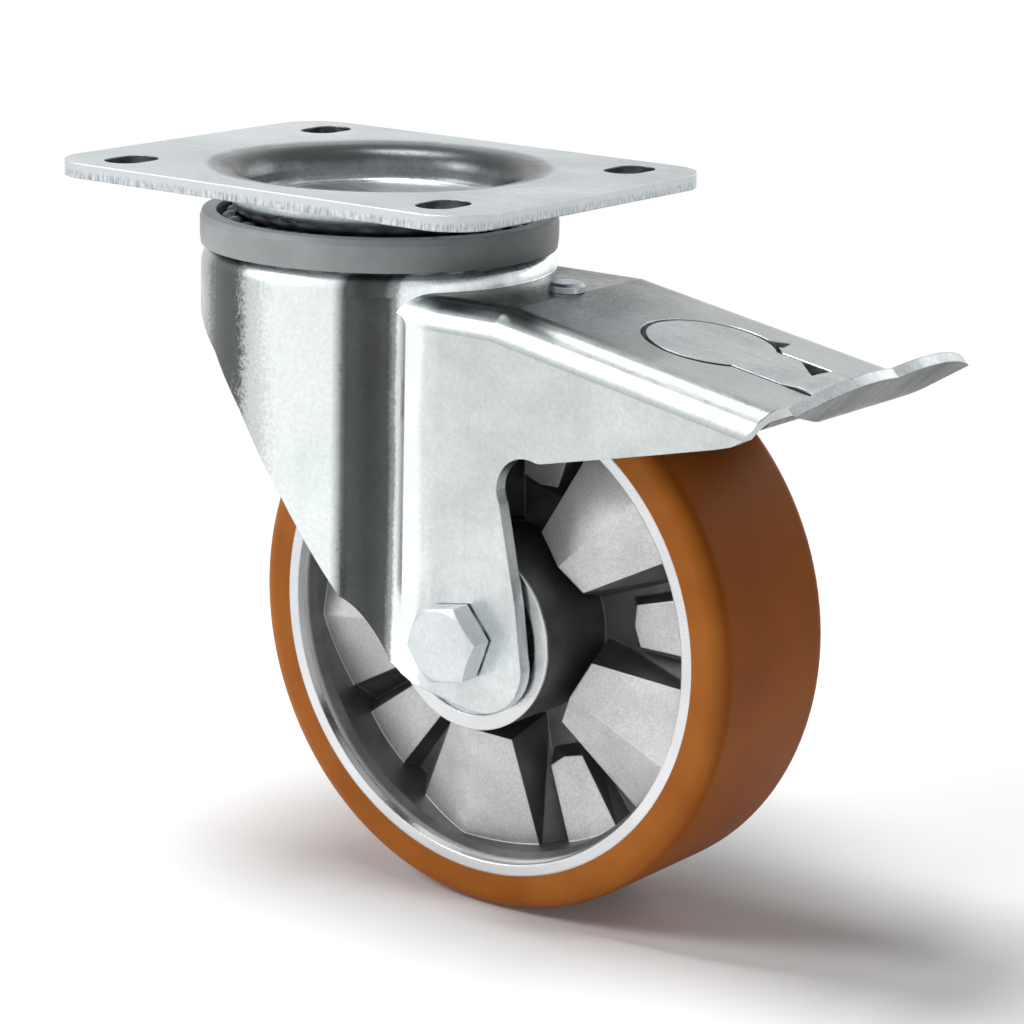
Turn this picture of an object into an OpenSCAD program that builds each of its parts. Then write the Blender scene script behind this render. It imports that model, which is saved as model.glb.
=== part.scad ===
// Swivel castor with a bolt-on top plate, a double ball-race swivel head, a pressed fork,
// a die-cast wheel with a bonded tyre and a pedal brake that holds both the wheel and the swivel.
// Millimetres. The origin is the centre of the plate's top face, +Z is up,
// and +X points from the swivel axis towards the wheel and the pedal.

/* [Overall] */
// Height from the floor to the top of the plate
total_h = 188; // [184:1:196]
// Offset of the axle behind the swivel axis
trail = 55; // [52:1:58]
// Running clearance beside curved faces that pass each other
run_gap = 0.3; // [0.3:0.1:0.5]

/* [Top plate] */
// Length of the plate along X
plate_l = 140; // [132:1:150]
// Width of the plate along Y
plate_w = 110; // [106:1:120]
// Thickness of the plate's sheet
plate_t = 4; // [3:0.5:5]
// Corner radius of the plate
plate_corner_r = 13; // [8:1:15]
// Hole spacing along X
hole_pitch_x = 105; // [100:1:110]
// Hole spacing along Y
hole_pitch_y = 80; // [76:1:84]
// Width of each slotted hole
slot_w = 11; // [9:0.5:12]
// Length of each slotted hole, along Y
slot_l = 16; // [14:0.5:18]
// Radius where the plate starts to fall towards the dish
dish_rim_r = 46; // [45:0.5:48]
// Radius of the dish at its steep wall
dish_r = 36.5; // [35:0.5:38]
// Depth of the dish floor below the plate's top
dish_depth = 9.8; // [9:0.2:11]

/* [Swivel head] */
// Clear height between the underside of the dish and the fork's crown
head_gap = 6.9; // [6.5:0.1:8]
// Outer radius of the fork's round head
head_r = 47.5; // [46.5:0.5:49]
// Diameter of the upper balls
upper_ball_d = 8.8; // [8:0.2:9]
// Diameter of the lower balls
lower_ball_d = 6; // [5:0.5:6.5]
// Pitch radius of the lower balls
lower_ball_pitch = 26; // [25:0.5:27]
// Depth of each pressed ball groove
groove_depth = 0.7; // [0.4:0.1:1]
// Height of the plastic seal ring
seal_h = 8.6; // [7.5:0.1:9.2]
// Wall of the seal ring
seal_wall = 3; // [2:0.5:3]
// Radius of the king pin's shank
king_pin_r = 9; // [8:0.5:10]
// Thickness of the lower race disc
lower_race_t = 3.5; // [3:0.5:4]
// Teeth round the edge of the lower race disc
lock_teeth = 24; // [24:12:36]

/* [Fork] */
// Thickness of the fork's sheet
fork_t = 4; // [3.5:0.5:4.5]
// Clear width between the legs
fork_gap = 61.4; // [61:0.2:63]
// Height of the deck's top below the crown's top
deck_drop = 5.3; // [4.5:0.1:6.5]
// Where the deck starts to slope down, along X
deck_bend_x = 66; // [62:1:70]
// Slope of the rear deck in degrees
deck_slope = 10; // [8:0.5:11]
// Where the deck ends, along X
deck_end_x = 146; // [142:1:147]
// Outside radius of the bend between the deck and the legs
deck_bend_r = 8; // [6:0.5:9]
// Radius of the vertical flute between the round head and each leg
flute_r = 11.5; // [10:0.5:12]
// Distance of each leg's bottom edge below the axle
leg_foot = 18; // [17:0.5:20]

/* [Wheel] */
// Diameter over the tyre
wheel_d = 150; // [146:1:152]
// Width of the wheel
wheel_w = 48; // [46:1:50]
// Outer radius of the rim, under the tyre
rim_r = 65.4; // [64:0.2:67]
// Radius of the tyre's rounded shoulder
tyre_shoulder_r = 4.5; // [3:0.5:6]
// Width of the rim's bright lip, seen from the side
lip_w = 3; // [2.5:0.5:4]
// Outer radius of the hub
hub_r = 25; // [24.5:0.5:26]
// Number of raised ribs on each side
rib_count = 5; // [5:1:6]
// Angle of the first rib's ridge
rib_angle = 44; // [0:1:71]
// Height of a rib's ridge above the wheel's middle plane, at the hub
rib_h = 20; // [17:0.5:21]

/* [Axle and bearings] */
// Diameter of the axle bolt
bolt_d = 12; // [10:1:12]
// Width across the flats of the bolt head and the nut
bolt_af = 19; // [18:1:19]
// Height of the bolt head
bolt_head_h = 7.5; // [7:0.5:8]
// Height of the nut
nut_h = 12; // [10:1:12]
// Outer diameter of the axle tube, which is the bearings' bore
tube_d = 20; // [18:1:20]
// Outer diameter of each bearing
bearing_d = 42; // [40:1:42]
// Width of each bearing
bearing_w = 12; // [11:1:13]
// Diameter of the bearing balls
bearing_ball_d = 6.4; // [5.6:0.2:6.4]
// Balls in each bearing
bearing_balls = 9; // [8:1:9]

/* [Brake] */
// Thickness of the lever's sheet
lever_t = 3; // [2.5:0.5:3]
// Thickness of the brake arm's sheet
arm_t = 2.5; // [2:0.5:2.5]
// Width of the pedal
pedal_w = 89; // [80:1:92]
// Radius of the round release pad in the deck's window
pad_r = 16.6; // [15:0.2:17]
// Gap between the release pad and the window
window_gap = 1.5; // [1.2:0.1:2]
// Gap on each side of the lever's tongue
tongue_gap = 0.8; // [0.6:0.1:1]
// Place of the release pad along X
pad_x = 107; // [105:1:108]
// Place of the lever's pin along X
lever_pin_x = 124; // [123:1:125]
// Diameter of the lever's pin
lever_pin_d = 6; // [5:0.5:6]
// Place of the deck rivet along X
rivet_x = 62; // [60:1:63]
// Diameter of the deck rivet's head
rivet_head_d = 9.6; // [9:0.2:11]
// Free distance between the brake shoe and the tyre
shoe_gap = 2.8; // [2.8:0.1:3]

/* [Hidden] */
$fn = 96;

zinc = "#c9ced2";
dark_zinc = "#9aa0a6";
steel = "#8d9196";
cast = "#a9acb0";
amber = "#b5651d";
seal_grey = "#7d7f82";

// Heights, all from the plate's top face
axle_z = -(total_h - wheel_d / 2);
dish_under_z = -(dish_depth + plate_t);
crown_z = dish_under_z - head_gap;
crown_under_z = crown_z - fork_t;
deck_z = crown_z - deck_drop;
deck_under_z = deck_z - fork_t;

// The dish's outer bend, and the upper balls that bear on it
dish_wall_out = dish_r + 3.5;
dish_bend_r = 6;
fit_gap = 0.06;
upper_ball_z = crown_z - groove_depth + upper_ball_d / 2 + fit_gap;
upper_reach = upper_ball_d / 2 + dish_bend_r + fit_gap;
upper_rise = dish_under_z + dish_bend_r - upper_ball_z;
upper_ball_pitch = dish_wall_out - dish_bend_r + sqrt(upper_reach * upper_reach - upper_rise * upper_rise);
upper_ball_count = floor(2 * PI * upper_ball_pitch / (upper_ball_d * 1.04));

// Lower race
lower_ball_z = crown_under_z + groove_depth - lower_ball_d / 2 - fit_gap;
lower_ball_count = floor(2 * PI * lower_ball_pitch / (lower_ball_d * 1.06));
race_top_z = lower_ball_z - lower_ball_d / 2 + groove_depth - fit_gap;
race_bottom_z = race_top_z - lower_race_t;
race_r = lower_ball_pitch + lower_ball_d / 2 + 5;
lock_depth = 3.2;
lock_notch = 2 * PI * race_r / lock_teeth * 0.55;
crown_bore_r = lower_ball_pitch - lower_ball_d / 2 - 3;

// Fork
leg_in = fork_gap / 2;
leg_out = leg_in + fork_t;
flute_x = 33;
flute_y = leg_out - 0.7 + flute_r;

// Wheel
wheel_r = wheel_d / 2;
half_w = wheel_w / 2;
hub_half = leg_in - 1.2;
lip_r = rim_r - lip_w;
barrel_r = lip_r - 2;
web_half = 4;
rib_in_r = hub_r + 4;

// Bearings
bearing_out = hub_half - 0.6;
bearing_in = bearing_out - bearing_w;
bearing_ball_pitch = (tube_d + bearing_d) / 4;
bearing_ring_t = (bearing_d - tube_d) / 2 * 0.27;
shield_t = 0.8;

// Brake: the deck's sloping frame starts at (deck_bend_x, deck_z)
deck_tan = tan(deck_slope);
function deck_at(x) = deck_z - (x - deck_bend_x) * deck_tan;
lever_pin_z = deck_at(lever_pin_x) - fork_t / cos(deck_slope) - lever_pin_d / 2 - 0.1;
window_r = pad_r + window_gap;
tongue_half = 10.6;
slot_half = tongue_half + tongue_gap;
lug_t = fork_t;
lug_half = 4.5;
ear_t = lever_t;
pin_fit = 0.06;
rivet_r = 3;
rivet_slack = 0.6;
shoe_r = wheel_r + shoe_gap;
arm_top_z = deck_under_z - 0.45;
arm_mid_z = arm_top_z - arm_t / 2;
arm_bottom_z = arm_top_z - arm_t;
arm_half = 10;
prong_h = 1.8;
prong_gap = 0.5;
ear_r = 4.2;
neck_top_z = deck_at(lever_pin_x + 10) - 0.1;
tail_mid_z = neck_top_z - lever_t - run_gap - arm_t / 2;
arm_low_z = lever_pin_z - ear_r - 0.8 - arm_t / 2;

function dist(p) = sqrt(p[0] * p[0] + p[1] * p[1]);
function unit(p) = p / dist(p);
function left_of(p) = [-p[1], p[0]];
function cross2(a, b) = a[0] * b[1] - a[1] * b[0];
function angle_of(p) = atan2(p[1], p[0]);

// A straight stretch of sheet from a to b, t thick, centred on the line
module straight(a, b, t) {
    translate(a) rotate(angle_of(b - a)) translate([0, -t / 2]) square([dist(b - a), t]);
}

// The bend at corner c between the directions d0 and d1, r in the middle of the sheet
module bend(c, d0, d1, r, t) {
    side = sign(cross2(d0, d1));
    turn = acos(d0 * d1);
    cut = r * tan(turn / 2);
    o = c - d0 * cut + left_of(d0) * r * side;
    translate(o) intersection() {
        difference() {
            circle(r + t / 2);
            circle(r - t / 2);
        }
        far = (r + t) / cos(turn / 2);
        polygon([[0, 0], -left_of(d0) * side * far, unit(c - o) * far * 1.2, -left_of(d1) * side * far]);
    }
}

// The straights of a bent sheet run this far into its bends
lap = 0.05;

// Piece i of a bent sheet along a list of points: straights are even, bends are odd.
// Each inner corner has one bend radius, in the middle of the sheet.
module sheet_piece(pts, radii, t, i) {
    n = len(pts);
    k = floor(i / 2);
    function dir(j) = unit(pts[j + 1] - pts[j]);
    function cut(j) = j == 0 || j == n - 1 ? 0 : radii[j - 1] * tan(acos(dir(j - 1) * dir(j)) / 2);
    if (i % 2 == 0)
        straight(pts[k] + dir(k) * (cut(k) - (k > 0 ? lap : 0)),
                 pts[k + 1] - dir(k) * (cut(k + 1) - (k < n - 2 ? lap : 0)), t);
    else
        bend(pts[k + 1], dir(k), dir(k + 1), radii[k], t);
}

function pieces(pts) = [0 : 2 * len(pts) - 4];

// One side of a bent sheet as points, off to the left of its middle line, with n steps in each bend
function turned(v, a) = [v[0] * cos(a) - v[1] * sin(a), v[0] * sin(a) + v[1] * cos(a)];
function bend_points(c, d0, d1, r, off, n) =
    let (side = sign(cross2(d0, d1)), turn = acos(d0 * d1),
         o = c - d0 * r * tan(turn / 2) + left_of(d0) * r * side)
    [for (k = [0 : n]) o - turned(left_of(d0) * side, side * turn * k / n) * (r - side * off)];
function sheet_side(pts, radii, off, n) =
    let (e = len(pts) - 1, d = [for (j = [0 : e - 1]) unit(pts[j + 1] - pts[j])])
    [pts[0] + left_of(d[0]) * off,
     for (j = [1 : e - 1]) each bend_points(pts[j], d[j - 1], d[j], radii[j - 1], off, n),
     pts[e] + left_of(d[e - 1]) * off];
function backwards(v) = [for (i = [len(v) - 1 : -1 : 0]) v[i]];

module rounded_rect(l, w, r) {
    square([l - 2 * r, w], center = true);
    square([l, w - 2 * r], center = true);
    for (sx = [-1, 1], sy = [-1, 1])
        translate([sx * (l / 2 - r), sy * (w / 2 - r)]) circle(r);
}

module slot(l, w) {
    square([w, l - w], center = true);
    for (s = [-1, 1]) translate([0, s * (l - w) / 2]) circle(w / 2);
}

// A profile in the XZ plane, given width along Y
module across(w) {
    rotate([90, 0, 0]) linear_extrude(w, center = true) children();
}

// The axle frame: local Z points outwards from the side of the bolt head (-Y)
module on_axle() {
    translate([trail, 0, axle_z]) rotate([90, 0, 0]) children();
}

// The sloping deck's frame: local X runs down the slope and local Z stands off the sheet
module on_deck() {
    translate([deck_bend_x, 0, deck_z]) rotate([0, deck_slope, 0]) children();
}

module ring(r_out, r_in, z0, z1) {
    translate([0, 0, z0]) linear_extrude(z1 - z0) difference() {
        circle(r_out);
        circle(r_in);
    }
}

module ball_row(d, pitch, count, z) {
    for (i = [0 : count - 1])
        rotate(i * 360 / count) translate([pitch, 0, z]) sphere(d / 2, $fn = 32);
}

module groove(d, pitch, z) {
    translate([0, 0, z]) rotate_extrude() translate([pitch, 0]) circle(d / 2 + fit_gap, $fn = 48);
}

// Top plate: a flat sheet with a dish pressed into its middle
floor_mid = -dish_depth - plate_t / 2;
wall_mid = dish_wall_out - plate_t / 2;
dish_path = [[king_pin_r, floor_mid], [wall_mid - 0.8, floor_mid], [wall_mid + 0.8, -plate_t / 2 - 1.2],
             [dish_rim_r + 1, -plate_t / 2], [dish_rim_r + 4, -plate_t / 2]];
dish_bends = [dish_bend_r - plate_t / 2, 4.5, 8];

module top_plate() color(zinc) difference() {
    union() {
        translate([0, 0, -plate_t]) linear_extrude(plate_t) difference() {
            rounded_rect(plate_l, plate_w, plate_corner_r);
            circle(dish_rim_r + 3);
            for (sx = [-1, 1], sy = [-1, 1])
                translate([sx * hole_pitch_x / 2, sy * hole_pitch_y / 2]) slot(slot_l, slot_w);
        }
        for (i = pieces(dish_path)) rotate_extrude() sheet_piece(dish_path, dish_bends, plate_t, i);
    }
    translate([0, 0, king_head_z]) cylinder(h = 10, r = king_head_r);
}

// King pin: a rivet with a flush head in the dish, a shoulder and a head formed under the race
king_head_r = 15;
king_head_z = -dish_depth - 2.4;

module king_pin() color(dark_zinc) {
    rotate_extrude() polygon([[5, king_head_z + 1.6], [5, king_head_z + 2.7], [13, king_head_z + 2.7],
                              [king_head_r, king_head_z + 2.2], [king_head_r, king_head_z], [king_pin_r, king_head_z],
                              [king_pin_r, dish_under_z], [king_pin_r + 4, dish_under_z],
                              [king_pin_r + 4, race_top_z], [king_pin_r, race_top_z],
                              [king_pin_r, race_bottom_z], [king_pin_r + 5, race_bottom_z],
                              [king_pin_r + 5, race_bottom_z - 2], [king_pin_r + 4, race_bottom_z - 3],
                              [0, race_bottom_z - 3], [0, king_head_z + 1.6]]);
}

// Lower race: a disc with a ball groove, toothed round its edge for the swivel lock
module lower_race() color(steel) difference() {
    translate([0, 0, race_bottom_z]) cylinder(h = lower_race_t, r = race_r);
    translate([0, 0, race_bottom_z - 1]) cylinder(h = lower_race_t + 2, r = king_pin_r);
    groove(lower_ball_d, lower_ball_pitch, lower_ball_z);
    for (i = [0 : lock_teeth - 1])
        rotate(i * 360 / lock_teeth) translate([race_r - lock_depth, -lock_notch / 2, race_bottom_z - 1])
            cube([6, lock_notch, lower_race_t + 2]);
}

module upper_balls() color("silver") ball_row(upper_ball_d, upper_ball_pitch, upper_ball_count, upper_ball_z);

module lower_balls() color("silver") ball_row(lower_ball_d, lower_ball_pitch, lower_ball_count, lower_ball_z);

// Seal ring round the upper balls, with a lip that leans in over them
module seal_ring() color(seal_grey) translate([0, 0, crown_z]) rotate_extrude() {
    polygon([[head_r + 0.3 - seal_wall, 0], [head_r, 0], [head_r + 0.3, seal_h * 0.3],
             [head_r + 0.3, seal_h * 0.8], [head_r - 0.3, seal_h], [head_r - seal_wall - 1, seal_h],
             [head_r - seal_wall - 1, seal_h - 1.4], [head_r + 0.3 - seal_wall, seal_h - 1.4]]);
}

// Fork, pressed from one sheet

// Side view of the sheet that the legs are cut to: the front edge hangs from the crown,
// the leg stands round the axle and the apron's lower edge follows the deck
module leg_outline() {
    foot = axle_z - leg_foot;
    foot_r = 13;
    arch_r = 9;
    front = -head_r;
    heel = trail + 20.7;
    rear = deck_end_x;
    difference() {
        union() {
            polygon([[front - 12.5, 10], [front - 12.5, crown_z - 14.5], [front + 11.5, crown_z - 16.5],
                     [front + 27, crown_z - 26], [front + 39.2, crown_z - 39.5], [front + 53.5, crown_z - 60],
                     [trail - 22, axle_z - 10.5], [trail - 14, axle_z - 14.5],
                     [trail + 3.5, foot], [trail + 7.5, foot], [heel, foot + foot_r], [heel - 2.4, axle_z + 12],
                     [heel - 8.7, axle_z + 41], [heel - 2.2, deck_z - 36.8], [heel + 4.5, deck_z - 36.7],
                     [rear - 39.2, deck_z - 30.7], [rear - 13.7, deck_z - 24.7], [rear - 9.5, deck_z - 23.5],
                     [rear - 6.2, deck_z - 21.7], [rear - 3.9, deck_z - 18.5], [rear - 2, deck_z - 15.3],
                     [rear + 2, deck_z - 10], [rear + 2, 10]]);
            translate([trail + 7.6, foot + foot_r]) circle(foot_r);
        }
        translate([heel - 8.7 + arch_r - 0.3, deck_z - 45.2]) circle(arch_r);
    }
}

module head_shell(inset) {
    r = head_r - inset;
    round_r = 5.5 - inset * 0.75;
    top = crown_z - inset;
    translate([0, 0, -160]) cylinder(h = 160 + top - round_r, r = r);
    translate([0, 0, top - round_r - 0.01]) cylinder(h = round_r + 0.01, r = r - round_r);
    translate([0, 0, top - round_r]) rotate_extrude() translate([r - round_r, 0]) circle(round_r, $fn = 48);
}

// The deck and legs as one channel with rounded edges, under the given height
module channel(inset, l, bend_r) {
    w = 2 * (leg_out - inset);
    r = bend_r - inset;
    rotate([90, 0, 90]) linear_extrude(l) {
        translate([-w / 2, -160]) square([w, 160 - r]);
        translate([-w / 2 + r, -r - 0.01]) square([w - 2 * r, r + 0.01]);
        for (s = [-1, 1]) translate([s * (w / 2 - r), -r]) circle(r, $fn = 64);
    }
}

module fork_body(inset) {
    head_shell(inset);
    intersection() {
        translate([0, 0, deck_z - inset]) channel(inset, 200, deck_bend_r);
        on_deck() translate([-100, 0, -inset]) channel(inset, 220, deck_bend_r + 0.4);
    }
}

module flutes(inset) {
    for (s = [-1, 1])
        translate([flute_x, s * flute_y, -160]) cylinder(h = 160 + deck_z - 1 - inset, r = flute_r + inset);
}

// The window in the rear deck, open towards the pedal
module deck_window() {
    pad_u = (pad_x - deck_bend_x) / cos(deck_slope);
    on_deck() translate([0, 0, -fork_t - 2]) linear_extrude(fork_t + 12) {
        translate([pad_u, 0]) circle(window_r);
        translate([pad_u, -slot_half]) square([80, 2 * slot_half]);
        polygon([[pad_u + 5, window_r - 2], [pad_u + 10.7, window_r + 3],
                 [pad_u + 11.7, window_r - 2.8], [pad_u + 7, window_r - 8]]);
    }
}

// Two lugs bent down from the window's edges, bored for the lever's pin
module pin_lugs() {
    for (s = [-1, 1])
        translate([lever_pin_x, s * (slot_half + lug_t / 2), lever_pin_z]) across(lug_t) difference() {
            union() {
                circle(lug_half);
                translate([-lug_half, 0]) square([2 * lug_half, deck_at(lever_pin_x) - lever_pin_z - 2]);
            }
        }
}

module fork() color(zinc) difference() {
    union() {
        difference() {
            intersection() {
                fork_body(0);
                across(200) leg_outline();
                translate([-100, -100, -200]) cube([deck_end_x + 100, 200, 300]);
            }
            fork_body(fork_t);
            flutes(0);
            deck_window();
        }
        flute_walls();
        pin_lugs();
    }
    translate([lever_pin_x, 0, lever_pin_z]) rotate([90, 0, 0]) cylinder(h = 60, d = lever_pin_d, center = true);
    translate([0, 0, crown_under_z - 5]) cylinder(h = fork_t + 10, r = crown_bore_r);
    groove(upper_ball_d, upper_ball_pitch, upper_ball_z);
    groove(lower_ball_d, lower_ball_pitch, lower_ball_z);
    translate([rivet_x, 0, deck_under_z - 1]) cylinder(h = fork_t + 2, r = rivet_r);
    translate([trail, 0, axle_z]) rotate([90, 0, 0]) cylinder(h = 200, d = bolt_d, center = true);
}

// The sheet at the bottom of each flute, which keeps the fork's thickness
module flute_walls() {
    difference() {
        intersection() {
            for (s = [-1, 1])
                translate([flute_x, s * flute_y, -160])
                    cylinder(h = 160 + deck_z - 1, r = flute_r + fork_t);
            fork_body(0);
            across(200) leg_outline();
        }
        flutes(0);
    }
}

// Deck rivet, with slack under its lower head for the brake arm
module deck_rivet() color(dark_zinc) translate([rivet_x, 0, 0]) {
    translate([0, 0, deck_z]) rotate_extrude()
        polygon([[0, 0], [rivet_head_d / 2, 0], [rivet_head_d / 2, 1.6], [rivet_head_d / 2 - 0.9, 2.4], [0, 2.4]]);
    translate([0, 0, arm_bottom_z - rivet_slack])
        cylinder(h = deck_z - arm_bottom_z + rivet_slack + 0.01, r = rivet_r);
    translate([0, 0, arm_bottom_z - rivet_slack - 1.6]) cylinder(h = 1.61, r = rivet_r + 2);
}

// Brake lever, one sheet: the round release pad, the tongue with two bored ears and the pedal
pedal_tip = [deck_end_x + 15.3, deck_z - 6.3];
pedal_low = [deck_end_x + 4, deck_z - 17.6];
tongue_end_x = lever_pin_x + 10;
tongue_mid = lever_t / 2 / cos(deck_slope);
pad_start_x = pad_x - pad_r - 4;
lever_path = [[pad_start_x, deck_at(pad_start_x) - tongue_mid],
              [tongue_end_x, deck_at(tongue_end_x) - tongue_mid],
              [deck_end_x - 6, neck_top_z - lever_t / 2], pedal_low, pedal_tip];
lever_bends = [10, 8, 6];

// Plan of the release pad and the tongue, along the slope
module pad_plan() {
    pad_u = (pad_x - deck_bend_x) / cos(deck_slope);
    half = tongue_half - 0.3;
    translate([pad_u, 0]) circle(pad_r);
    polygon([[pad_u, -pad_r * 0.8], [pad_u + 11, -half], [pad_u + 60, -half],
             [pad_u + 60, half], [pad_u + 11, half], [pad_u, pad_r * 0.8]]);
}

module lever_pad() {
    intersection() {
        across(2 * pad_r + 2) sheet_piece(lever_path, lever_bends, lever_t, 0);
        on_deck() translate([0, 0, -20]) linear_extrude(40) pad_plan();
    }
}

// The bends and straights behind the pad, w wide
module lever_sheet(w) {
    for (i = [1 : 6]) across(w) sheet_piece(lever_path, lever_bends, lever_t, i);
}

// Butterfly outline of the pedal, in the plane of its upturned front
module pedal_outline() {
    lobe_r = 60;
    tip_y = pedal_w / 2;
    intersection() {
        for (s = [-1, 1]) translate([-lobe_r, s * 13]) circle(lobe_r, $fn = 180);
        polygon([[-40, -tongue_half - 3], [-40, tongue_half + 3], [-17, tongue_half + 3], [-5, tip_y],
                 [20, tip_y], [20, -tip_y], [-5, -tip_y], [-17, -tongue_half - 3]]);
    }
}

module pedal() {
    rise = angle_of(pedal_tip - pedal_low);
    intersection() {
        union() {
            intersection() {
                lever_sheet(pedal_w);
                translate([deck_end_x + 1.8, -100, -100]) cube([50, 200, 100]);
            }
            lever_sheet(2 * tongue_half);
        }
        translate([pedal_tip[0], 0, pedal_tip[1]]) rotate([0, -rise, 0])
            linear_extrude(200, center = true) pedal_outline();
    }
}

module lever_ears() {
    for (s = [-1, 1])
        translate([0, s * (tongue_half - ear_t / 2), 0]) across(ear_t) {
            polygon([[lever_pin_x - ear_r, lever_pin_z], [lever_pin_x + ear_r, lever_pin_z],
                     [lever_pin_x + ear_r, deck_at(lever_pin_x + ear_r) - 1],
                     [lever_pin_x - ear_r, deck_at(lever_pin_x - ear_r) - 1]]);
            translate([lever_pin_x, lever_pin_z]) circle(ear_r);
        }
}

module brake_lever() color(zinc) difference() {
    union() {
        lever_pad();
        pedal();
        lever_ears();
    }
    translate([lever_pin_x, 0, lever_pin_z]) rotate([90, 0, 0])
        cylinder(h = 60, d = lever_pin_d + 2 * pin_fit, center = true);
    translate([lever_pin_x, 0, lever_pin_z - 10]) linear_extrude(30)
        polygon([[2.5, tongue_half + 5], [2.5, tongue_half + 0.2], [11.2, 2.5], [12.5, tongue_half + 5]]);
}

module brake_pin() color(dark_zinc) translate([lever_pin_x, 0, lever_pin_z]) rotate([90, 0, 0]) {
    end = slot_half + lug_t + 1;
    rotate_extrude() polygon([[0, -end], [lever_pin_d / 2 - 0.8, -end], [lever_pin_d / 2, -end + 0.6],
                              [lever_pin_d / 2, end - 0.6], [lever_pin_d / 2 - 0.8, end], [0, end]]);
}

// Brake arm: rocks on the deck rivet, with a curved shoe over the tyre and prongs for the toothed race
shoe_mid_r = shoe_r + arm_t / 2;
shoe_a0 = 21.5;
shoe_a1 = 40;
shoe_a = (shoe_a1 - shoe_a0) / 2;
prong_z = race_bottom_z - prong_gap - prong_h;
function on_shoe(a, r) = [trail + r * sin(a), axle_z + r * cos(a)];
function along(a) = [cos(a), -sin(a)];
arm_path = [[race_r - lock_depth - 1.5, prong_z - arm_t / 2], [race_r + 6, prong_z - arm_t / 2],
            [rivet_x - 6, arm_mid_z], [rivet_x + 6, arm_mid_z], on_shoe(shoe_a0, shoe_mid_r) - along(shoe_a0) * 4,
            on_shoe(shoe_a0 + shoe_a, shoe_mid_r / cos(shoe_a)), on_shoe(shoe_a1, shoe_mid_r) + along(shoe_a1) * 3,
            [lever_pin_x - 5, arm_low_z], [lever_pin_x + 5, arm_low_z],
            [lever_pin_x + 10.5, tail_mid_z], [lever_pin_x + 13, tail_mid_z]];
arm_bends = [4, 8, 8, 8, shoe_mid_r, 3, 5, 3, 2];

module brake_arm() color(dark_zinc) {
    difference() {
        across(2 * arm_half) polygon(concat(sheet_side(arm_path, arm_bends, arm_t / 2, 8),
                                            backwards(sheet_side(arm_path, arm_bends, -arm_t / 2, 8))));
        translate([rivet_x, 0, arm_mid_z]) cylinder(h = 3 * arm_t, r = rivet_r + 0.5, center = true);
    }
    for (a = [-1, 0, 1] * 360 / lock_teeth)
        rotate(a) translate([race_r - lock_depth + 0.5, -1.4, prong_z - 0.5]) cube([2.2, 2.8, prong_h + 0.5]);
}

// Axle bolt, nut, tube and spacers
module hex_bar(af, h) {
    intersection() {
        rotate(10) cylinder(h = h, d = af / cos(30), $fn = 6);
        rotate_extrude() polygon([[0, 0], [af * 0.6, 0], [af * 0.6, h - af * 0.06], [af * 0.475, h], [0, h]]);
    }
}

module axle_bolt() color(zinc) on_axle() {
    translate([0, 0, leg_out]) cylinder(h = 0.6, d = bolt_af * 0.94);
    translate([0, 0, leg_out + 0.6]) hex_bar(bolt_af, bolt_head_h - 0.6);
    translate([0, 0, -leg_out - nut_h - 2.5]) cylinder(h = 2 * leg_out + nut_h + 2.6, d = bolt_d);
}

module axle_nut() color(zinc) on_axle() mirror([0, 0, 1]) translate([0, 0, leg_out]) difference() {
    union() {
        hex_bar(bolt_af, nut_h * 0.75);
        cylinder(h = nut_h, d = bolt_af * 0.82);
    }
    translate([0, 0, -1]) cylinder(h = nut_h + 2, d = bolt_d);
}

module axle_tube() color(steel) on_axle() ring(tube_d / 2, bolt_d / 2, -leg_in, leg_in);

module spacer(side) color(dark_zinc) on_axle() mirror([0, 0, side]) ring(tube_d / 2 + 3, tube_d / 2, bearing_out, leg_in);

// Ball bearing, one on each side of the hub: side 0 lies by the bolt head, side 1 by the nut
bearing_mid = (bearing_in + bearing_out) / 2;

module bearing_groove() {
    translate([bearing_ball_pitch, bearing_mid]) circle(bearing_ball_d / 2 + fit_gap, $fn = 48);
}

module bearing_ring(side, r0, r1) {
    on_axle() mirror([0, 0, side]) rotate_extrude() difference() {
        translate([r0, bearing_in]) square([r1 - r0, bearing_w]);
        bearing_groove();
    }
}

module bearing_outer(side) color("silver") bearing_ring(side, bearing_d / 2 - bearing_ring_t, bearing_d / 2);

module bearing_inner(side) color("silver") bearing_ring(side, tube_d / 2, tube_d / 2 + bearing_ring_t);

module bearing_ball_set(side) color("silver") on_axle() mirror([0, 0, side])
    ball_row(bearing_ball_d, bearing_ball_pitch, bearing_balls, bearing_mid);

module bearing_shield(side) color(steel) on_axle() mirror([0, 0, side])
    ring(bearing_d / 2 - bearing_ring_t, tube_d / 2 + bearing_ring_t + 0.25,
         bearing_out - 0.4 - shield_t, bearing_out - 0.4);

// Wheel centre: hub, web and rim turned as one, with ribs cast on both sides of the web

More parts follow.
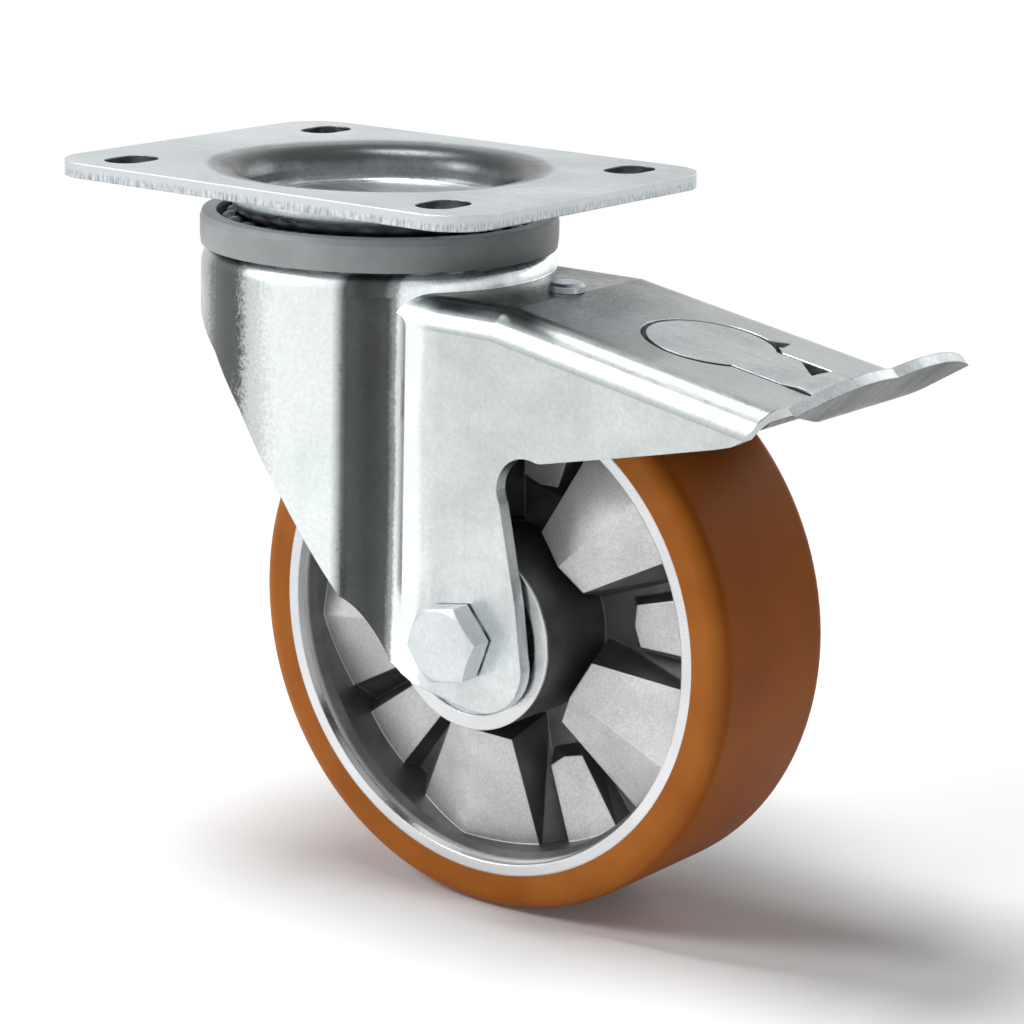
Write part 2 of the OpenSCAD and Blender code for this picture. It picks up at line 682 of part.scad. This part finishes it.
// One cast rib: its ridge runs outwards and its roof falls to both sides, with drafted walls
module rib(left, right, r_in, h, fall, side_fall, draft) {
    r_out = (barrel_r + rim_r) / 2;
    foot = 3;
    base = web_half - 1;
    function at(r, a) = [r * cos(a), r * sin(a)];
    function roof(p) = [p[0], p[1], h - fall * (p[0] - r_in) - side_fall * abs(p[1])];
    function floor_pt(p) = [p[0], p[1], base];
    top = [roof(at(r_in + 1.5, -right)), roof(at(r_in, 0)), roof(at(r_in + 1.5, left)),
           roof(at(r_out, left)), roof(at(r_out, 0)), roof(at(r_out, -right))];
    bottom = [floor_pt(at(r_in - foot, -right - draft)), floor_pt(at(r_in - foot, 0)),
              floor_pt(at(r_in - foot, left + draft)), floor_pt(at(r_out, left + draft)),
              floor_pt(at(r_out, 0)), floor_pt(at(r_out, -right - draft))];
    walls = [for (i = [0 : 5]) let (j = (i + 1) % 6) each [[j, i, i + 6], [j, i + 6, j + 6]]];
    polyhedron(points = concat(top, bottom),
               faces = concat([[0, 1, 4, 5], [1, 2, 3, 4]], walls, [[11, 10, 7, 6], [10, 9, 8, 7]]));
}

module rib_set() {
    pitch = 360 / rib_count;
    for (i = [0 : rib_count - 1]) {
        rotate(rib_angle + i * pitch) rib(20, 17, rib_in_r, rib_h, 0.12, 0.28, 6);
        rotate(rib_angle + (i + 0.5) * pitch) rib(8, 8, rib_in_r + 9, web_half + 5, 0, 0.02, 3);
    }
}

module wheel_centre() color(cast) on_axle() {
    rotate(20.3) rotate_extrude() difference() {
        union() {
            translate([0, -hub_half]) square([hub_r, 2 * hub_half]);
            translate([0, -web_half]) square([rim_r - 2, 2 * web_half]);
            polygon([[rim_r, -half_w], [rim_r, half_w], [lip_r, half_w], [lip_r, half_w - 2.5],
                     [barrel_r, half_w - 6], [barrel_r, -half_w + 6], [lip_r, -half_w + 2.5], [lip_r, -half_w]]);
        }
        translate([-1, -hub_half - 1]) square([bearing_d / 2 - bearing_ring_t + 1, 2 * hub_half + 2]);
        for (s = [0, 1]) mirror([0, s]) translate([0, bearing_in]) square([bearing_d / 2, 40]);
    }
    rib_set();
    mirror([0, 0, 1]) rotate(180 / rib_count) rib_set();
}

module tyre() color(amber) on_axle() rotate_extrude() {
    r = min(tyre_shoulder_r, (wheel_r - rim_r) / 2);
    translate([rim_r, -half_w]) square([wheel_r - r - rim_r, wheel_w]);
    translate([wheel_r - r - 0.01, -half_w + r]) square([r + 0.01, wheel_w - 2 * r]);
    for (s = [-1, 1]) translate([wheel_r - r, s * (half_w - r)]) circle(r, $fn = 64);
}

top_plate();
king_pin();
lower_race();
upper_balls();
lower_balls();
seal_ring();
fork();
deck_rivet();
brake_lever();
brake_pin();
brake_arm();
axle_bolt();
axle_nut();
axle_tube();
spacer(0);  // spacer_right
spacer(1);  // spacer_left
wheel_centre();
tyre();
bearing_outer(0);  // bearing_outer_right
bearing_inner(0);  // bearing_inner_right
bearing_ball_set(0);  // bearing_balls_right
bearing_shield(0);  // bearing_shield_right
bearing_outer(1);  // bearing_outer_left
bearing_inner(1);  // bearing_inner_left
bearing_ball_set(1);  // bearing_balls_left
bearing_shield(1);  // bearing_shield_left
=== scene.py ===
import math

import bpy
from mathutils import Matrix, Vector

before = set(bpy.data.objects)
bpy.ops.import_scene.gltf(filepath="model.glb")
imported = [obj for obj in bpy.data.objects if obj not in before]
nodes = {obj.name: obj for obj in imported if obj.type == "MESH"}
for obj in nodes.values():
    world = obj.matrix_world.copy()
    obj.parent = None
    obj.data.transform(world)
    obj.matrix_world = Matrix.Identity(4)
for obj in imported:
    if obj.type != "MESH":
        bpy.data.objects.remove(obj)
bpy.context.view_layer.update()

MM = 1000.0

# Places on the castor, in metres in the shared frame
AXLE_X, AXLE_Z = 0.055, -0.113
FLOOR_Z = -0.188
# The plate's slots end inside these |x| and |y|, and its sheared edge lies outside them
SLOTS_X = (0.0584, 0.0588)
SLOTS_Y = (0.0484, 0.0488)


# Small helpers for node trees

class Tree:
    """A node tree under construction. A value is a socket or a plain number."""

    def __init__(self, owner):
        owner.use_nodes = True
        self.t = owner.node_tree
        self.t.nodes.clear()

    def node(self, kind):
        return self.t.nodes.new("ShaderNode" + kind)

    def link(self, a, b):
        self.t.links.new(a, b)

    def put(self, socket, value):
        if hasattr(value, "links"):
            self.link(value, socket)
        else:
            socket.default_value = value

    def math(self, op, a, b=0.0, clamp=False):
        n = self.node("Math")
        n.operation = op
        n.use_clamp = clamp
        self.put(n.inputs[0], a)
        self.put(n.inputs[1], b)
        return n.outputs[0]

    def add(self, a, b):
        return self.math("ADD", a, b)

    def mul(self, a, b):
        return self.math("MULTIPLY", a, b)

    def abs(self, a):
        return self.math("ABSOLUTE", a)

    def length(self, a, b):
        return self.math("SQRT", self.add(self.mul(a, a), self.mul(b, b)))

    def weigh(self, *terms):
        """The sum of value * weight over (value, weight) terms."""
        total = self.mul(*terms[0])
        for term in terms[1:]:
            total = self.add(total, self.mul(*term))
        return total

    def span(self, v, a, b, lo=0.0, hi=1.0, smooth=False):
        """lo where v is a, hi where it is b, and between them a line or a smooth step."""
        n = self.node("MapRange")
        n.clamp = True
        if smooth:
            n.interpolation_type = "SMOOTHSTEP"
        self.put(n.inputs["Value"], v)
        for socket, value in (("From Min", a), ("From Max", b), ("To Min", lo), ("To Max", hi)):
            n.inputs[socket].default_value = value
        return n.outputs[0]

    def mix_shader(self, f, a, b):
        n = self.node("MixShader")
        for socket, value in zip(n.inputs, (f, a, b)):
            self.link(value, socket)
        return n.outputs[0]

    def seen(self):
        """1 for what the camera, a mirror or a glass shows, and 0 for light that falls on a surface."""
        path = self.node("LightPath")
        rays = path.outputs["Is Camera Ray"]
        for kind in ("Is Glossy Ray", "Is Transmission Ray"):
            rays = self.math("ADD", rays, path.outputs[kind], clamp=True)
        return rays


class Mat(Tree):
    """A principled material whose values come from nodes on object coordinates."""

    MIX_A, MIX_B, MIX_RESULT = 6, 7, 2      # colour sockets of Blender's Mix node

    def __init__(self, name):
        self.m = bpy.data.materials.new(name)
        super().__init__(self.m)
        self.b = self.node("BsdfPrincipled")
        self.link(self.b.outputs[0], self.node("OutputMaterial").inputs[0])
        self.co = self.node("TexCoord").outputs["Object"]
        to_object = self.node("VectorTransform")
        to_object.vector_type = "NORMAL"
        to_object.convert_from = "WORLD"
        to_object.convert_to = "OBJECT"
        self.link(self.node("NewGeometry").outputs["Normal"], to_object.inputs[0])
        self.nrm = to_object.outputs[0]

    def set(self, name, value):
        self.put(self.b.inputs[name], value)

    def split(self, v):
        n = self.node("SeparateXYZ")
        self.link(v, n.inputs[0])
        return n.outputs[0], n.outputs[1], n.outputs[2]

    def stretched(self, scale, rot=(0, 0, 0)):
        n = self.node("Mapping")
        self.link(self.co, n.inputs["Vector"])
        n.inputs["Rotation"].default_value = rot
        n.inputs["Scale"].default_value = scale
        return n.outputs[0]

    def noise(self, scale, detail, rough, at=None, distort=0.0):
        n = self.node("TexNoise")
        self.link(at or self.co, n.inputs["Vector"])
        for socket, value in (("Scale", scale), ("Detail", detail), ("Roughness", rough), ("Distortion", distort)):
            n.inputs[socket].default_value = value
        return n.outputs[0]

    def swing(self, *args, **options):
        """Noise on both sides of 0."""
        return self.math("SUBTRACT", self.noise(*args, **options), 0.5)

    def mix(self, f, a, b):
        n = self.node("Mix")
        n.data_type = "RGBA"
        self.put(n.inputs[0], f)
        self.put(n.inputs[self.MIX_A], a)
        self.put(n.inputs[self.MIX_B], b)
        return n.outputs[self.MIX_RESULT]

    def ramp(self, v, stops):
        """A smooth curve through (value, result) stops, with results up to 2."""
        lo, hi = stops[0][0], stops[-1][0]
        n = self.node("ValToRGB")
        n.color_ramp.interpolation = "EASE"
        while len(n.color_ramp.elements) < len(stops):
            n.color_ramp.elements.new(0.5)
        for e, (at, k) in zip(n.color_ramp.elements, stops):
            e.position = (at - lo) / (hi - lo)
            e.color = (k / 2, k / 2, k / 2, 1)
        self.link(self.span(v, lo, hi), n.inputs[0])
        return self.mul(n.outputs[0], 2.0)

    def blend(self, f, a, b):
        """a where f is 0, b where f is 1, for plain numbers."""
        return self.add(self.mul(self.math("SUBTRACT", 1.0, f), a), self.mul(f, b))

    def tint(self, colour, k):
        n = self.node("VectorMath")
        n.operation = "SCALE"
        self.link(colour, n.inputs[0])
        self.put(n.inputs["Scale"], k)
        return n.outputs[0]

    def relief(self, height, distance, strength, radius):
        """A fine relief on edges that look rounded to the radius."""
        bevel = self.node("Bevel")
        bevel.samples = 6
        bevel.inputs["Radius"].default_value = radius
        n = self.node("Bump")
        n.inputs["Strength"].default_value = strength
        n.inputs["Distance"].default_value = distance
        self.link(height, n.inputs["Height"])
        self.link(bevel.outputs[0], n.inputs["Normal"])
        self.set("Normal", n.outputs[0])


def rgb(r, g, b):
    """sRGB 0-255 to the linear colour that the nodes take."""
    def lin(c):
        c = c / 255.0
        return c / 12.92 if c <= 0.04045 else ((c + 0.055) / 1.055) ** 2.4
    return (lin(r), lin(g), lin(b), 1.0)


# Painted light and shade, and some smears, that multiply the zinc's colour, from a surface's place and direction on
# its piece

def fork_painted_light(m):
    """Painted light and shade on the pressed fork: soft light and dark bands round the head, a dark flute with a
    bright flank as painted reflection and highlight, painted shade on the deck, clouded.
    """
    x, y, _ = m.split(m.co)
    _, _, nz = m.split(m.nrm)
    side = m.abs(y)
    wave = m.swing(1.0, 3, 0.6, at=m.stretched((90, 90, 22)))
    grit = m.swing(1100, 2, 0.6)

    # Painted reflection bands on the round part, by the angle round the swivel axis in degrees: 0 at the deck, -180
    # at the front
    turn = m.weigh((m.math("ARCTAN2", m.mul(side, -1.0), x), 180 / math.pi), (wave, 12.0), (grit, 14.0))
    head_painted_reflection = m.ramp(turn, [(-180, 1.0), (-150, 1.05), (-128, 0.9), (-115, 0.24), (-104, 0.2), (-95, 1.15),
                               (-86, 1.62), (-62, 1.62), (-58, 0.8), (-54, 0.2)])

    # Painted reflection on the flute (dark) and a painted highlight on its flank, then the leg, by x in millimetres
    flute = m.ramp(m.weigh((x, MM), (wave, 3.0), (grit, 1.5)),
                   [(18, 0.7), (22, 0.2), (26, 0.12), (30.5, 0.16), (32.8, 0.6), (34, 1.7), (35, 1.9), (41.5, 1.85),
                    (44, 1.4), (49, 1.2)])
    patina = m.span(m.noise(38, 4, 0.6, distort=0.8), 0.3, 0.7, 0.86, 1.1)
    walls = m.blend(m.span(x, 0.0195, 0.0225), head_painted_reflection, m.mul(flute, patina))

    # Painted shade on the deck, dark near the head, by x in millimetres with a slant across it
    cloud = m.swing(24, 4, 0.6, distort=1.2)
    deck = m.ramp(m.weigh((x, MM), (cloud, 34.0), (m.add(y, 0.03), 380.0)),
                  [(40, 0.16), (60, 0.14), (76, 0.2), (88, 0.3), (100, 0.46), (116, 0.7), (150, 0.8)])
    tone = m.blend(m.span(nz, 0.75, 0.95), walls, deck)

    # Painted shade and highlight on the rounded edge between leg and deck: a dark strip above a bright one, by how
    # far its face points up
    bend_painted_light = m.ramp(nz, [(0.0, 1.2), (0.02, 0.95), (0.07, 0.8), (0.13, 1.05), (0.26, 1.35), (0.4, 1.8), (0.5, 1.55),
                       (0.62, 0.6), (0.76, 0.24), (0.88, 0.26), (0.95, 0.5), (0.985, 0.8)])
    near_bend = m.mul(m.span(side, 0.0255, 0.0275), m.span(x, 0.040, 0.046))
    slanted = m.mul(m.span(nz, 0.02, 0.1), m.span(nz, 0.975, 0.93))
    return m.blend(m.mul(near_bend, slanted), tone, bend_painted_light)


def plate_painted_light(m):
    """Painted light and shade on the plate: an even rim, a dark dish wall with a bright foot as painted reflection
    and highlight, painted shade in the slots, painted light on the shaded underside, darker towards +x.
    """
    x, y, _ = m.split(m.co)
    _, _, nz = m.split(m.nrm)
    far = m.weigh((m.length(x, y), MM), (m.swing(45, 3, 0.6, distort=0.8), 3.0))
    # Painted reflection on the dish: a bright foot near 33 mm and a dark wall from 35.6 to 44 mm
    top = m.ramp(far, [(20, 0.75), (31.5, 0.8), (33, 1.25), (34.4, 1.0), (35.6, 0.3), (37.5, 0.1), (41.5, 0.09),
                       (44, 0.3), (47, 0.84), (60, 0.9)])
    # Painted shade, darker towards +x
    top = m.mul(top, m.span(x, 0.015, 0.06, 1.0, 0.84))
    # Painted shade on the steep walls inside the slots
    within = m.mul(m.span(m.abs(x), *reversed(SLOTS_X)), m.span(m.abs(y), *reversed(SLOTS_Y)))
    steep = m.mul(m.span(m.abs(nz), 0.5, 0.3), m.span(far, 50, 51))
    top = m.blend(m.mul(within, steep), top, 0.25)
    # Painted light on the underside, which lies in shade
    return m.blend(m.span(nz, -0.02, -0.12), top, 1.6)


def lever_smears_and_painted_shade(m):
    """Painted shade makes the pedal's underside darker than its face, and the pad carries soft smears."""
    _, _, nz = m.split(m.nrm)
    smear = m.span(m.noise(1.0, 3, 0.6, at=m.stretched((55, 160, 55))), 0.3, 0.7, 0.85, 1.05)
    # Painted shade on the underside, by how far a face points down
    return m.mul(smear, m.blend(m.span(nz, 0.15, -0.1), 0.88, 0.12))


# Materials

def sheared_edge(m, colour, rough, height):
    """The plate's outer edge: a smooth band above and a torn one below. Gives the three values changed there."""
    x, y, z = m.split(m.co)
    _, _, nz = m.split(m.nrm)
    outer = m.math("MAXIMUM", m.span(m.abs(x), *SLOTS_X), m.span(m.abs(y), *SLOTS_Y))
    outer = m.mul(outer, m.span(m.length(x, y), 0.050, 0.0505))
    edge = m.mul(m.span(m.abs(nz), 0.45, 0.2), outer)
    tear = m.noise(1.0, 3, 0.7, at=m.stretched((1500, 1500, 350)))
    torn = m.mix(m.span(tear, 0.35, 0.62), rgb(150, 155, 160), rgb(222, 226, 229))
    bands = m.mix(m.span(z, -0.0026, -0.0016), torn, rgb(206, 211, 215))
    return (m.mix(m.mul(edge, 0.85), colour, bands),
            m.add(rough, m.mul(edge, 0.2)),
            m.add(height, m.mul(m.mul(tear, edge), 3.0)))


def zinc(name, streak, light, dark, rough=(0.2, 0.42), radius=0.0006, shade=None, edge=None):
    """Bright zinc plating on pressed steel: cloudy patches, drawing streaks and a fine matt grain."""
    m = Mat(name)
    cloud = m.noise(26, 4, 0.6, distort=0.6)
    lines = m.noise(1.0, 4, 0.65, at=m.stretched(streak))
    grain = m.noise(900, 2, 0.6)
    tone = m.span(m.weigh((cloud, 0.5), (lines, 0.15), (grain, 0.35)), 0.34, 0.66)
    colour = m.mix(tone, rgb(*dark), rgb(*light))
    # The shade function paints light and shade into the colour
    if shade:
        colour = m.tint(colour, shade(m))
    smooth, dull = rough
    matt = m.span(m.weigh((cloud, 0.6), (lines, 0.4)), 0.35, 0.65, dull, smooth)
    scratches = m.noise(1.0, 2, 0.5, at=m.stretched((2600, 2600, 90), rot=(0.3, 0.5, 0)))
    height = m.weigh((grain, 0.4), (scratches, 0.6))
    if edge:
        colour, matt, height = edge(m, colour, matt, height)
    m.set("Base Color", colour)
    m.set("Roughness", matt)
    m.set("Metallic", 1.0)
    m.relief(height, 0.00004, 0.6, radius)
    return m.m


def cast_aluminium():
    """Die-cast centre: light grainy rib faces, painted shade darkening the steep walls and pockets, machined lip and
    hub face.
    """
    m = Mat("cast_aluminium")
    x, y, z = m.split(m.co)
    _, ny, _ = m.split(m.nrm)
    out = m.abs(y)
    r = m.length(m.math("SUBTRACT", x, AXLE_X), m.math("SUBTRACT", z, AXLE_Z))
    grain = m.noise(1500, 3, 0.7)
    cloud = m.noise(60, 3, 0.6)
    sparkle = m.span(m.noise(2600, 1, 0.5), 0.55, 0.75)
    face = m.mix(m.span(m.weigh((grain, 0.5), (cloud, 0.5)), 0.35, 0.65), rgb(184, 184, 185), rgb(222, 222, 223))
    face = m.mix(m.mul(sparkle, 0.35), face, rgb(240, 240, 241))
    # Painted shade: the steep walls and the recessed pockets take this dark colour
    wall = m.mix(m.span(cloud, 0.35, 0.65), rgb(98, 98, 99), rgb(120, 120, 121))
    rib_face = m.mul(m.span(m.abs(ny), 0.75, 0.93), m.span(out, 0.0052, 0.0075))
    hub_face = m.mul(m.span(r, 0.0256, 0.0250), m.span(out, 0.0285, 0.029))
    machined = m.math("MAXIMUM", m.span(r, 0.0616, 0.0622), hub_face)
    turned = m.mix(m.noise(1.0, 2, 0.5, at=m.stretched((40, 4000, 40))), rgb(196, 198, 200), rgb(236, 237, 238))
    m.set("Base Color", m.mix(machined, m.mix(rib_face, wall, face), turned))
    m.set("Roughness", m.span(machined, 0, 1, 0.52, 0.24))
    m.set("Metallic", 0.9)
    m.relief(grain, 0.00012, 0.7, 0.0007)
    return m.m


def polyurethane():
    """Cast polyurethane: satin orange-brown side with a fine grain, and a darker ground tread."""
    m = Mat("polyurethane")
    _, ny, _ = m.split(m.nrm)
    tread = m.span(m.abs(ny), 0.75, 0.35)
    cloud = m.noise(45, 3, 0.5)
    grain = m.noise(2200, 2, 0.6)
    side = m.mix(m.span(cloud, 0.35, 0.65), rgb(164, 92, 26), rgb(180, 106, 36))
    ground = m.mix(m.span(m.weigh((cloud, 0.6), (grain, 0.4)), 0.35, 0.65), rgb(144, 74, 14), rgb(161, 88, 22))
    lathe = m.noise(1.0, 2, 0.5, at=m.stretched((60, 1800, 60)))
    m.set("Base Color", m.mix(tread, side, ground))
    m.set("Roughness", m.span(grain, 0.3, 0.7, 0.42, 0.55))
    m.set("Specular IOR Level", m.span(tread, 0, 1, 0.16, 0.10))
    m.relief(m.weigh((grain, 0.6), (m.mul(lathe, tread), 0.6)), 0.00004, 0.6, 0.0006)
    return m.m


def seal_plastic():
    """Moulded grey plastic with a faint grain, and painted shade darker towards the deck."""
    m = Mat("seal_plastic")
    x, _, _ = m.split(m.co)
    cloud = m.noise(70, 3, 0.6)
    grain = m.noise(1800, 2, 0.5)
    grey = m.mix(m.span(cloud, 0.35, 0.65), rgb(156, 159, 160), rgb(172, 175, 176))
    # Painted shade, darker towards +x on the deck side
    m.set("Base Color", m.tint(grey, m.span(x, 0.014, 0.045, 1.0, 0.72)))
    m.set("Roughness", m.span(grain, 0.3, 0.7, 0.38, 0.52))
    m.relief(grain, 0.00003, 0.5, 0.0005)
    return m.m


def steel(name, light, dark, rough):
    """Plain steel with a fine turned or drawn finish."""
    m = Mat(name)
    lines = m.noise(1.0, 3, 0.6, at=m.stretched((300, 300, 300)))
    grain = m.noise(1500, 2, 0.6)
    tone = m.span(m.weigh((lines, 0.7), (grain, 0.3)), 0.35, 0.65)
    m.set("Base Color", m.mix(tone, rgb(*dark), rgb(*light)))
    m.set("Roughness", m.span(tone, 0, 1, rough + 0.12, rough))
    m.set("Metallic", 1.0)
    m.relief(grain, 0.00003, 0.5, 0.0003)
    return m.m


plate_zinc = zinc("plate_zinc", (60, 260, 260), (216, 222, 225), (168, 176, 180), shade=plate_painted_light, edge=sheared_edge)
fork_zinc = zinc("fork_zinc", (320, 320, 34), (200, 205, 205), (176, 181, 181), shade=fork_painted_light)
lever_zinc = zinc("lever_zinc", (90, 500, 90), (202, 208, 209), (152, 158, 160), rough=(0.24, 0.4), shade=lever_smears_and_painted_shade)
bolt_zinc = zinc("bolt_zinc", (400, 400, 400), (226, 230, 231), (196, 201, 203), rough=(0.22, 0.4), radius=0.0004)
dark_zinc = zinc("dark_zinc", (400, 400, 400), (190, 196, 200), (130, 137, 143), rough=(0.28, 0.45), radius=0.0003)
race_steel = steel("race_steel", (128, 130, 134), (84, 86, 90), 0.35)
ball_steel = steel("ball_steel", (205, 207, 210), (170, 172, 176), 0.16)
greased_steel = steel("greased_steel", (92, 92, 92), (60, 59, 57), 0.22)
shield_steel = steel("shield_steel", (176, 179, 183), (132, 135, 140), 0.28)

materials = {
    "top_plate": plate_zinc, "king_pin": dark_zinc, "lower_race": race_steel,
    "upper_balls": greased_steel, "lower_balls": greased_steel, "seal_ring": seal_plastic(),
    "fork": fork_zinc, "deck_rivet": dark_zinc, "brake_lever": lever_zinc, "brake_pin": dark_zinc,
    "brake_arm": race_steel, "axle_bolt": bolt_zinc, "axle_nut": bolt_zinc, "axle_tube": shield_steel,
    "spacer_right": dark_zinc, "spacer_left": dark_zinc,
    "wheel_centre": cast_aluminium(), "tyre": polyurethane(),
}
for side in ("right", "left"):
    materials["bearing_outer_" + side] = ball_steel
    materials["bearing_inner_" + side] = ball_steel
    materials["bearing_balls_" + side] = ball_steel
    materials["bearing_shield_" + side] = shield_steel
for name, material in materials.items():
    for slot in nodes[name].material_slots:
        slot.material = material


# Camera at the photograph's angle

AZIMUTH, ELEVATION, ROLL = 36.75, 14.21, 1.26       # degrees, the azimuth from -Y towards +X
AIM = (0, 0, FLOOR_Z + 0.1)
SHIFT_RIGHT, SHIFT_UP, DISTANCE = 0.03669, -0.00684, 0.95118
FOCAL_PX, PICTURE_PX, SENSOR_MM = 3506.39, 1024, 36


def place_camera():
    az, el, roll = (math.radians(a) for a in (AZIMUTH, ELEVATION, ROLL))
    back = Vector((math.sin(az) * math.cos(el), -math.cos(az) * math.cos(el), math.sin(el)))
    level = Vector((math.cos(az), math.sin(az), 0))
    upright = back.cross(level)
    right = math.cos(roll) * level + math.sin(roll) * upright
    up = -math.sin(roll) * level + math.cos(roll) * upright
    place = Vector(AIM) + SHIFT_RIGHT * right + SHIFT_UP * up + DISTANCE * back
    cam = bpy.data.objects.new("camera", bpy.data.cameras.new("camera"))
    bpy.context.scene.collection.objects.link(cam)
    matrix = Matrix.Identity(4)
    for i in range(3):
        matrix[i][0], matrix[i][1], matrix[i][2], matrix[i][3] = right[i], up[i], back[i], place[i]
    cam.matrix_world = matrix
    cam.data.sensor_fit = "HORIZONTAL"
    cam.data.sensor_width = SENSOR_MM
    cam.data.lens = FOCAL_PX / PICTURE_PX * SENSOR_MM
    cam.data.clip_start = 0.02
    cam.data.clip_end = 50
    bpy.context.scene.camera = cam


place_camera()


# Studio: a white floor, a white surround and three soft lamps

WHEEL_MIDDLE = (0.04, 0, -0.09)
WHITE = (1, 1, 1, 1)


def area_lamp(name, at, size, power):
    lamp = bpy.data.objects.new(name, bpy.data.lights.new(name, "AREA"))
    lamp.data.shape = "RECTANGLE"
    lamp.data.size, lamp.data.size_y = size
    lamp.data.energy = power
    lamp.location = at
    lamp.rotation_euler = (Vector(WHEEL_MIDDLE) - Vector(at)).to_track_quat("-Z", "Y").to_euler()
    bpy.context.scene.collection.objects.link(lamp)


def make_world():
    """White where it is seen or mirrored, and a faint even light on the rest."""
    world = bpy.data.worlds.new("studio")
    bpy.context.scene.world = world
    t = Tree(world)

    def background(colour, strength):
        n = t.node("Background")
        n.inputs["Color"].default_value = colour
        n.inputs["Strength"].default_value = strength
        return n.outputs[0]

    t.link(t.mix_shader(t.seen(), background((0.96, 0.98, 1.0, 1), 0.13), background(WHITE, 1.0)),
           t.node("OutputWorld").inputs[0])


def floor_material():
    """Pale and lit under the castor, fading to plain white further off, and clear from below."""
    m = bpy.data.materials.new("floor")
    t = Tree(m)
    seen = t.seen()
    gap = t.node("VectorMath")
    gap.operation = "DISTANCE"
    gap.inputs[1].default_value = (0.05, 0.0, FLOOR_Z)
    t.link(t.node("TexCoord").outputs["Object"], gap.inputs[0])
    far = t.span(gap.outputs["Value"], 0.2, 0.7, smooth=True)
    pale = t.node("BsdfDiffuse")
    pale.inputs["Color"].default_value = (0.92, 0.92, 0.92, 1)
    glow = t.node("Emission")
    t.put(glow.inputs["Strength"], t.mul(seen, 0.06))
    lit = t.node("AddShader")
    t.link(pale.outputs[0], lit.inputs[0])
    t.link(glow.outputs[0], lit.inputs[1])
    white = t.node("Emission")
    white.inputs["Color"].default_value = WHITE
    white.inputs["Strength"].default_value = 1.0
    above = t.mix_shader(t.mul(seen, far), lit.outputs[0], white.outputs[0])
    below = t.node("NewGeometry").outputs["Backfacing"]
    t.link(t.mix_shader(below, above, t.node("BsdfTransparent").outputs[0]), t.node("OutputMaterial").inputs[0])
    return m


def make_floor():
    half, z = 9.0, FLOOR_Z - 0.0002
    mesh = bpy.data.meshes.new("floor")
    mesh.from_pydata([(-half, -half, z), (half, -half, z), (half, half, z), (-half, half, z)], [], [(0, 1, 2, 3)])
    floor = bpy.data.objects.new("floor", mesh)
    bpy.context.scene.collection.objects.link(floor)
    mesh.materials.append(floor_material())


area_lamp("key", (-0.9, -1.1, 0.9), (0.6, 0.7), 12.8)
area_lamp("top", (-0.28, -0.08, 1.3), (0.5, 0.5), 19.5)
area_lamp("rear_fill", (0.3, 1.3, 0.5), (0.9, 0.7), 3)
make_world()
make_floor()
bpy.context.scene.view_settings.view_transform = "Standard"
